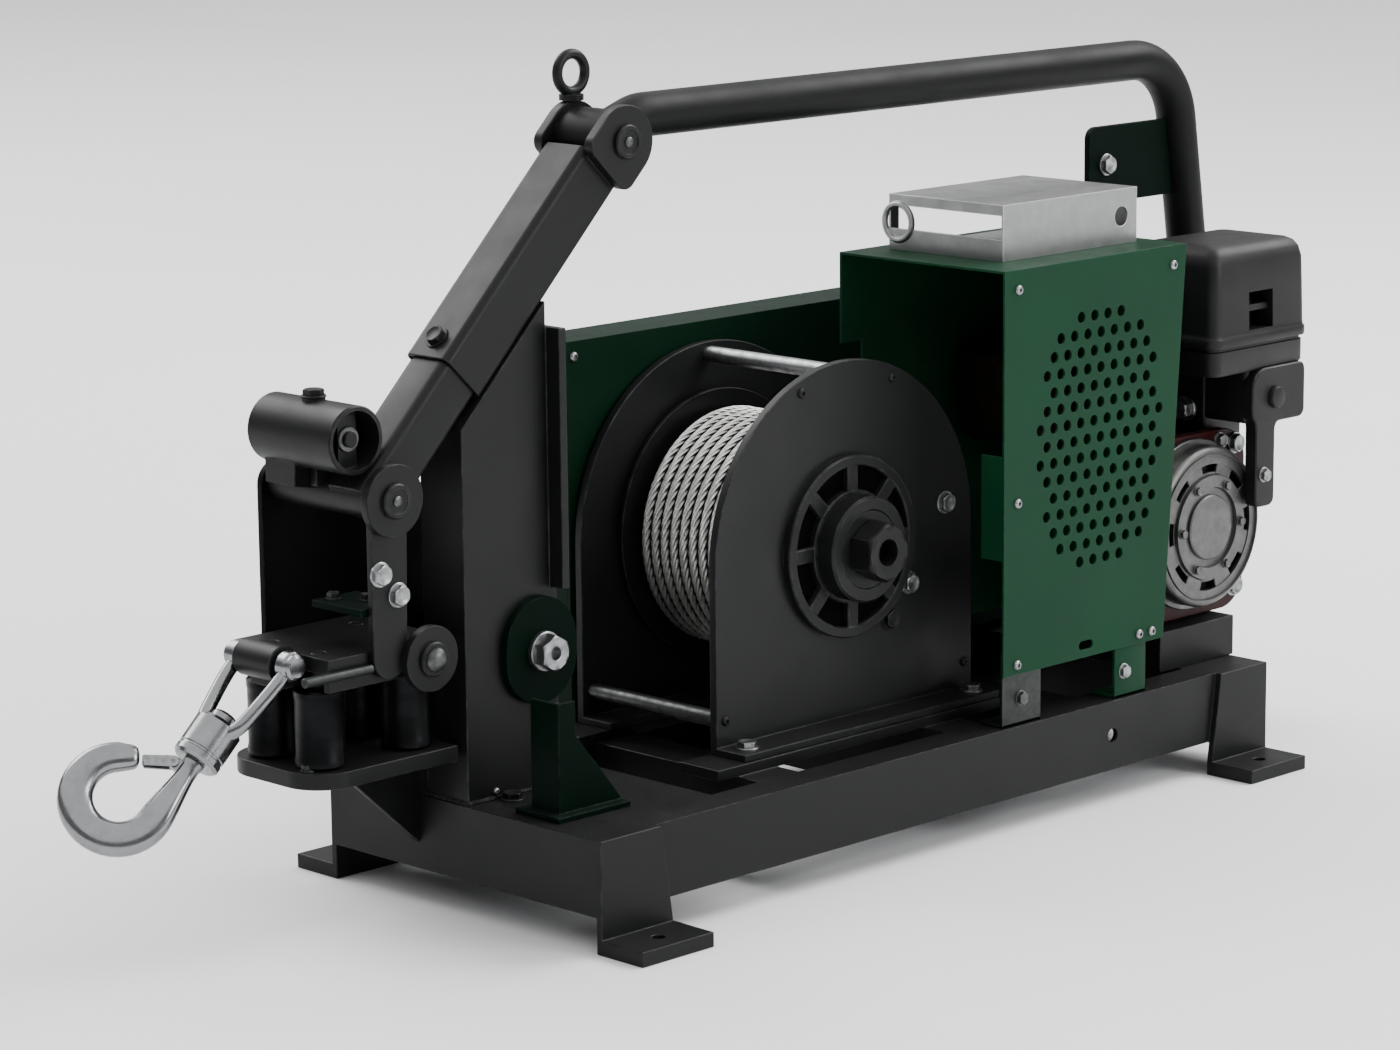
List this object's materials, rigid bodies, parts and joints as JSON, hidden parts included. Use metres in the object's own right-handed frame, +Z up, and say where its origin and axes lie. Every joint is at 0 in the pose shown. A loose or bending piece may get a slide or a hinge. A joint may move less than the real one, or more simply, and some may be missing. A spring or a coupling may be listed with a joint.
{
  "type": "wire rope winch",
  "caption": "Engine driven wire rope winch on a footed frame: drum between side plates, sloping mast with roller nose, swivel hook, roll bar and perforated guard.",
  "frame": {"origin": "centre of the four foot bolt holes, on the floor plane", "axes": "+X from the hook to the engine, +Y from the open side to the gear side, +Z up"},
  "size_m": [1.6474, 0.532, 0.8722],
  "materials": {
    "black_paint": "satin charcoal paint",
    "green_paint": "satin dark green paint",
    "bright_steel": "zinc plated",
    "roller_steel": "dark oiled steel",
    "rope_wire": "galvanised wire",
    "gear_iron": "machined and greased",
    "belt_rubber": "matte",
    "tray_sheet": "galvanised sheet",
    "engine_aluminium": "cast",
    "engine_red": "gloss dark red paint",
    "black_plastic": "moulded",
    "tank_paint": "gloss black paint",
    "muffler_steel": "heat tinted"
  },
  "bodies": {
    "frame": {"base_frame": "black_paint", "drum_plate_near": "black_paint", "drum_plate_far": "black_paint", "drum_bearing_near": "black_paint", "mast_column": "black_paint", "boom": "black_paint", "boom_arm": "black_paint", "roll_bar": "black_paint", "lifting_eye": "black_paint", "cross_tube": "black_paint", "pivot_discs": "black_paint", "link_arm": "black_paint", "far_cheek": "black_paint", "guide_shell": "black_paint", "nose_bottom_plate": "black_paint", "nose_top_plate": "black_paint", "engine_base": "black_paint", "gear_panel": "green_paint", "gear_cover": "green_paint", "bar_bracket": "green_paint", "tie_plate": "green_paint", "mast_bracket": "green_paint", "corner_leg": "green_paint", "guard_hood": "green_paint", "guard_panel": "green_paint", "tie_rods": "bright_steel", "pivot_pins": "bright_steel", "hex_bolts": "bright_steel", "round_screws": "bright_steel", "guard_brackets": "bright_steel", "drive_belt": "belt_rubber", "tool_tray": "tray_sheet", "engine_block": "engine_aluminium", "fan_cover": "engine_aluminium", "fan_shroud": "engine_red", "air_cleaner": "black_plastic", "intake_duct": "black_plastic", "fuel_tank": "tank_paint", "muffler": "muffler_steel"},
    "drum_assembly": {"drum": "black_paint", "drum_shaft": "black_paint", "rope_core": "rope_wire", "rope_winding": "rope_wire", "bull_gear": "gear_iron"},
    "pinion_assembly": {"pinion_shaft": "gear_iron", "belt_pulley": "gear_iron"},
    "crank_assembly": {"crankshaft": "gear_iron", "engine_pulley": "gear_iron"},
    "front_near_fairlead": {"front_near_roller": "roller_steel"},
    "front_far_fairlead": {"front_far_roller": "roller_steel"},
    "rear_near_fairlead": {"rear_near_roller": "roller_steel"},
    "rear_far_fairlead": {"rear_far_roller": "roller_steel"},
    "upper_guide": {"guide_roller": "roller_steel"},
    "lower_guide": {"rope_roller": "roller_steel"},
    "hook_shackle": {"shackle": "bright_steel", "shackle_pin": "bright_steel"},
    "swivel_hook": {"hook": "bright_steel"},
    "latch": {"hook_latch": "bright_steel"},
    "throttle": {"throttle_lever": "bright_steel"},
    "cap": {"fuel_cap": "black_plastic"}
  },
  "joints": [
    {"name": "drum_spin", "type": "hinge", "parent": "frame", "child": "drum_assembly", "pos_m": [-0.045, 0, 0.327], "axis": [0, 1, 0], "continuous": true},
    {"name": "pinion_spin", "type": "hinge", "parent": "frame", "child": "pinion_assembly", "pos_m": [0.18723, 0.1, 0.363], "axis": [0, 1, 0], "continuous": true},
    {"name": "crank_spin", "type": "hinge", "parent": "frame", "child": "crank_assembly", "pos_m": [0.479, 0, 0.28], "axis": [0, 1, 0], "continuous": true},
    {"name": "front_near_spin", "type": "hinge", "parent": "frame", "child": "front_near_fairlead", "pos_m": [-0.692, 0.032, 0.225], "axis": [0, 0, 1], "continuous": true},
    {"name": "front_far_spin", "type": "hinge", "parent": "frame", "child": "front_far_fairlead", "pos_m": [-0.692, 0.106, 0.225], "axis": [0, 0, 1], "continuous": true},
    {"name": "rear_near_spin", "type": "hinge", "parent": "frame", "child": "rear_near_fairlead", "pos_m": [-0.578, 0.032, 0.225], "axis": [0, 0, 1], "continuous": true},
    {"name": "rear_far_spin", "type": "hinge", "parent": "frame", "child": "rear_far_fairlead", "pos_m": [-0.578, 0.106, 0.225], "axis": [0, 0, 1], "continuous": true},
    {"name": "upper_guide_spin", "type": "hinge", "parent": "frame", "child": "upper_guide", "pos_m": [-0.66099, 0.065, 0.51381], "axis": [0, 1, 0], "continuous": true},
    {"name": "lower_guide_spin", "type": "hinge", "parent": "frame", "child": "lower_guide", "pos_m": [-0.434, 0.1, 0.266], "axis": [0, 1, 0], "continuous": true},
    {"name": "shackle_swing", "type": "hinge", "parent": "frame", "child": "hook_shackle", "pos_m": [-0.73, 0.069, 0.293], "axis": [0, 1, 0], "range_deg": [-30, 60]},
    {"name": "hook_swivel", "type": "hinge", "parent": "hook_shackle", "child": "swivel_hook", "pos_m": [-0.73, 0.069, 0.293], "axis": [-0.7254, 0, -0.6884], "continuous": true},
    {"name": "latch_hinge", "type": "hinge", "parent": "swivel_hook", "child": "latch", "pos_m": [-0.8391, 0.08102, 0.20604], "axis": [0.4867, 0.7071, -0.5129], "range_deg": [-40, 0], "stiffness_Nm_per_rad": 0.05},
    {"name": "throttle_hinge", "type": "hinge", "parent": "frame", "child": "throttle", "pos_m": [0.6, -0.062, 0.413], "axis": [1, 0, 0], "range_deg": [-25, 25]},
    {"name": "cap_turn", "type": "hinge", "parent": "frame", "child": "cap", "pos_m": [0.47, 0.066, 0.59], "axis": [0, 0, 1], "range_deg": [0, 90]}
  ],
  "couplings": [
    {"joint": "pinion_spin", "follows": "drum_spin", "ratio": -4.2222},
    {"joint": "crank_spin", "follows": "drum_spin", "ratio": -10.509}
  ]
}
